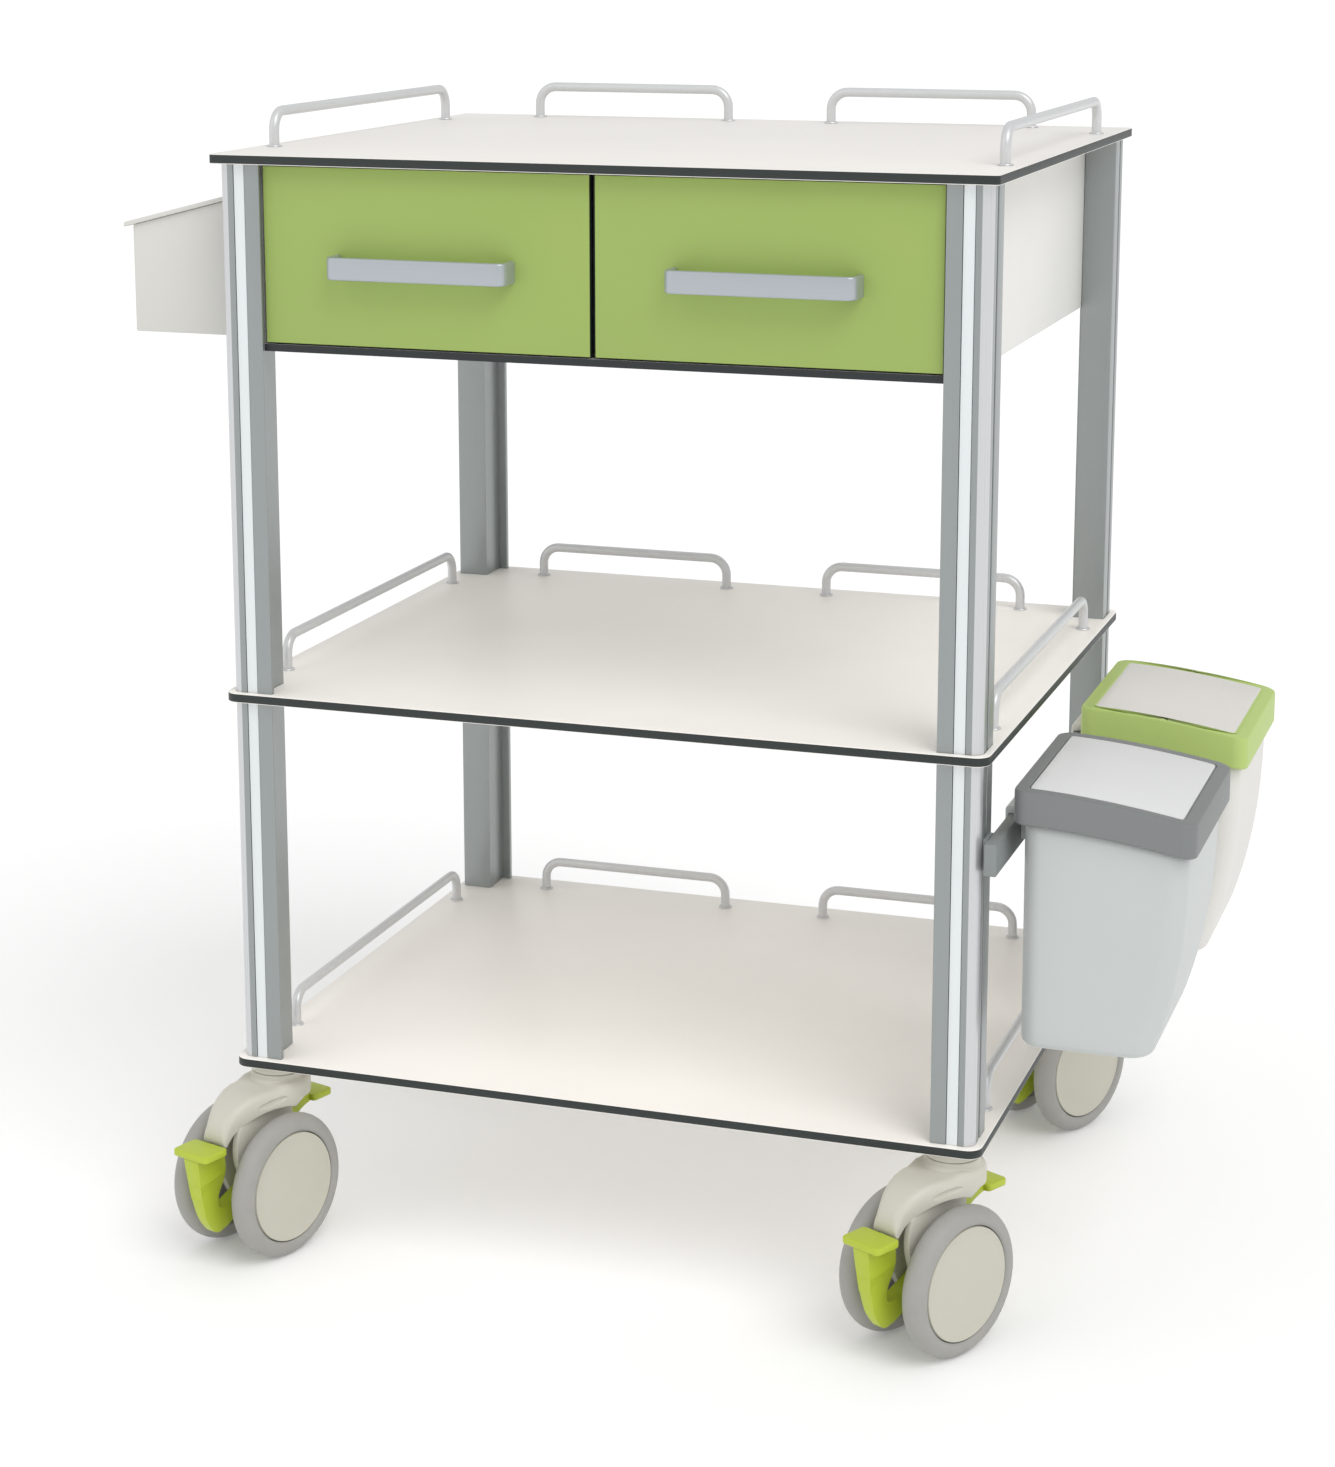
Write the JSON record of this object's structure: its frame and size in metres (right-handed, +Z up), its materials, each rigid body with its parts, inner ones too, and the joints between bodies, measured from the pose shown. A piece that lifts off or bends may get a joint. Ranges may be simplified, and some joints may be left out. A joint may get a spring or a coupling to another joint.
{
  "type": "medication cart",
  "caption": "Ward cart: aluminium posts, white boards with gallery rails, drawers under the top, a lidded side box, lidded bins on a side rail and braked swivel casters.",
  "frame": {"origin": "on the floor, under the middle of the whole cart's outline", "axes": "+Z up; -Y is the front, where the drawers open; +X is to the right seen from the front, where the bins hang"},
  "size_m": [0.926, 0.6692, 0.9763],
  "materials": {
    "laminate": "white high-pressure laminate with a fine matt texture",
    "core_black": "black compact core, matt",
    "post_aluminium": "satin anodised extrusion",
    "rail_steel": "satin round bar",
    "panel_white": "white powder coat",
    "front_green": "light green laminate, matt",
    "tray_steel": "pale grey powder coat",
    "handle_satin": "satin bow handle",
    "box_grey": "warm pale grey powder coat",
    "bin_rail_grey": "grey powder coat",
    "rim_grey": "moulded, fine texture",
    "rim_green": "moulded, fine texture",
    "bucket_grey": "moulded, cool pale grey",
    "bucket_white": "moulded, warm white",
    "lid_white": "moulded flap, matt",
    "caster_cream": "moulded, warm cream",
    "wheel": "grey tread with a cream hub cover",
    "pedal_green": "moulded, lime green"
  },
  "bodies": {
    "root": {"bin_bucket_green": "bucket_white", "bin_bucket_grey": "bucket_grey", "bin_rail": "bin_rail_grey", "bin_rim_green": "rim_green", "bin_rim_grey": "rim_grey", "bottom_rail_back_left": "rail_steel", "bottom_rail_back_right": "rail_steel", "bottom_rail_side_left": "rail_steel", "bottom_rail_side_right": "rail_steel", "bottom_shelf": "laminate", "caster_mount_front_left": "caster_cream", "caster_mount_front_right": "caster_cream", "caster_mount_rear_left": "caster_cream", "caster_mount_rear_right": "caster_cream", "drawer_divider": "core_black", "housing_back": "panel_white", "housing_base": "core_black", "middle_rail_back_left": "rail_steel", "middle_rail_back_right": "rail_steel", "middle_rail_side_left": "rail_steel", "middle_rail_side_right": "rail_steel", "middle_shelf": "laminate", "post_front_left": "post_aluminium", "post_front_right": "post_aluminium", "post_rear_left": "post_aluminium", "post_rear_right": "post_aluminium", "side_box": "box_grey", "side_panel_left": "panel_white", "side_panel_right": "panel_white", "top_board": "laminate", "top_rail_back_left": "rail_steel", "top_rail_back_right": "rail_steel", "top_rail_side_left": "rail_steel", "top_rail_side_right": "rail_steel"},
    "drawer_left": {"drawer_front_left": "front_green", "drawer_tray_left": "tray_steel", "drawer_handle_left": "handle_satin"},
    "drawer_right": {"drawer_front_right": "front_green", "drawer_tray_right": "tray_steel", "drawer_handle_right": "handle_satin"},
    "side_box_lid": {"side_box_lid": "box_grey"},
    "bin_lid_grey": {"bin_lid_grey": "lid_white"},
    "bin_lid_green": {"bin_lid_green": "lid_white"},
    "caster_front_left": {"caster_housing_front_left": "caster_cream"},
    "caster_wheel_front_left_left": {"caster_wheel_front_left_left": "wheel"},
    "caster_wheel_front_left_right": {"caster_wheel_front_left_right": "wheel"},
    "caster_pedal_front_left": {"caster_pedal_front_left": "pedal_green"},
    "caster_front_right": {"caster_housing_front_right": "caster_cream"},
    "caster_wheel_front_right_left": {"caster_wheel_front_right_left": "wheel"},
    "caster_wheel_front_right_right": {"caster_wheel_front_right_right": "wheel"},
    "caster_pedal_front_right": {"caster_pedal_front_right": "pedal_green"},
    "caster_rear_left": {"caster_housing_rear_left": "caster_cream"},
    "caster_wheel_rear_left_left": {"caster_wheel_rear_left_left": "wheel"},
    "caster_wheel_rear_left_right": {"caster_wheel_rear_left_right": "wheel"},
    "caster_pedal_rear_left": {"caster_pedal_rear_left": "pedal_green"},
    "caster_rear_right": {"caster_housing_rear_right": "caster_cream"},
    "caster_wheel_rear_right_left": {"caster_wheel_rear_right_left": "wheel"},
    "caster_wheel_rear_right_right": {"caster_wheel_rear_right_right": "wheel"},
    "caster_pedal_rear_right": {"caster_pedal_rear_right": "pedal_green"}
  },
  "joints": [
    {"name": "drawer_left_slide", "type": "slide", "parent": "root", "child": "drawer_left", "axis": [0, -1, 0], "range_m": [0, 0.35]},
    {"name": "drawer_right_slide", "type": "slide", "parent": "root", "child": "drawer_right", "axis": [0, -1, 0], "range_m": [0, 0.35]},
    {"name": "side_box_lid_hinge", "type": "hinge", "parent": "root", "child": "side_box_lid", "pos_m": [-0.349, -0.04112, 0.9043], "axis": [0, 1, 0], "range_deg": [0, 80]},
    {"name": "bin_lid_grey_hinge", "type": "hinge", "parent": "root", "child": "bin_lid_grey", "pos_m": [0.33, -0.12662, 0.45959], "axis": [0, -1, 0], "range_deg": [0, 80]},
    {"name": "bin_lid_green_hinge", "type": "hinge", "parent": "root", "child": "bin_lid_green", "pos_m": [0.33, 0.14438, 0.45959], "axis": [0, -1, 0], "range_deg": [0, 80]},
    {"name": "caster_front_left_swivel", "type": "hinge", "parent": "root", "child": "caster_front_left", "pos_m": [-0.324, -0.22012, 0.145], "axis": [0, 0, 1], "continuous": true},
    {"name": "caster_wheel_front_left_left_spin", "type": "hinge", "parent": "caster_front_left", "child": "caster_wheel_front_left_left", "pos_m": [-0.33277, -0.24881, 0.0625], "axis": [0.9563, -0.2924, 0], "continuous": true},
    {"name": "caster_wheel_front_left_right_spin", "type": "hinge", "parent": "caster_front_left", "child": "caster_wheel_front_left_right", "pos_m": [-0.33277, -0.24881, 0.0625], "axis": [0.9563, -0.2924, 0], "continuous": true},
    {"name": "caster_pedal_front_left_press", "type": "hinge", "parent": "caster_front_left", "child": "caster_pedal_front_left", "pos_m": [-0.33277, -0.24881, 0.0625], "axis": [0.9563, -0.2924, 0], "range_deg": [0, 8]},
    {"name": "caster_front_right_swivel", "type": "hinge", "parent": "root", "child": "caster_front_right", "pos_m": [0.276, -0.22012, 0.145], "axis": [0, 0, 1], "continuous": true},
    {"name": "caster_wheel_front_right_left_spin", "type": "hinge", "parent": "caster_front_right", "child": "caster_wheel_front_right_left", "pos_m": [0.26238, -0.24685, 0.0625], "axis": [0.891, -0.454, 0], "continuous": true},
    {"name": "caster_wheel_front_right_right_spin", "type": "hinge", "parent": "caster_front_right", "child": "caster_wheel_front_right_right", "pos_m": [0.26238, -0.24685, 0.0625], "axis": [0.891, -0.454, 0], "continuous": true},
    {"name": "caster_pedal_front_right_press", "type": "hinge", "parent": "caster_front_right", "child": "caster_pedal_front_right", "pos_m": [0.26238, -0.24685, 0.0625], "axis": [0.891, -0.454, 0], "range_deg": [0, 8]},
    {"name": "caster_rear_left_swivel", "type": "hinge", "parent": "root", "child": "caster_rear_left", "pos_m": [-0.324, 0.27888, 0.145], "axis": [0, 0, 1], "continuous": true},
    {"name": "caster_wheel_rear_left_left_spin", "type": "hinge", "parent": "caster_rear_left", "child": "caster_wheel_rear_left_left", "pos_m": [-0.33277, 0.25019, 0.0625], "axis": [0.9563, -0.2924, 0], "continuous": true},
    {"name": "caster_wheel_rear_left_right_spin", "type": "hinge", "parent": "caster_rear_left", "child": "caster_wheel_rear_left_right", "pos_m": [-0.33277, 0.25019, 0.0625], "axis": [0.9563, -0.2924, 0], "continuous": true},
    {"name": "caster_pedal_rear_left_press", "type": "hinge", "parent": "caster_rear_left", "child": "caster_pedal_rear_left", "pos_m": [-0.33277, 0.25019, 0.0625], "axis": [0.9563, -0.2924, 0], "range_deg": [0, 8]},
    {"name": "caster_rear_right_swivel", "type": "hinge", "parent": "root", "child": "caster_rear_right", "pos_m": [0.276, 0.27888, 0.145], "axis": [0, 0, 1], "continuous": true},
    {"name": "caster_wheel_rear_right_left_spin", "type": "hinge", "parent": "caster_rear_right", "child": "caster_wheel_rear_right_left", "pos_m": [0.26238, 0.25215, 0.0625], "axis": [0.891, -0.454, 0], "continuous": true},
    {"name": "caster_wheel_rear_right_right_spin", "type": "hinge", "parent": "caster_rear_right", "child": "caster_wheel_rear_right_right", "pos_m": [0.26238, 0.25215, 0.0625], "axis": [0.891, -0.454, 0], "continuous": true},
    {"name": "caster_pedal_rear_right_press", "type": "hinge", "parent": "caster_rear_right", "child": "caster_pedal_rear_right", "pos_m": [0.26238, 0.25215, 0.0625], "axis": [0.891, -0.454, 0], "range_deg": [0, 8]}
  ]
}
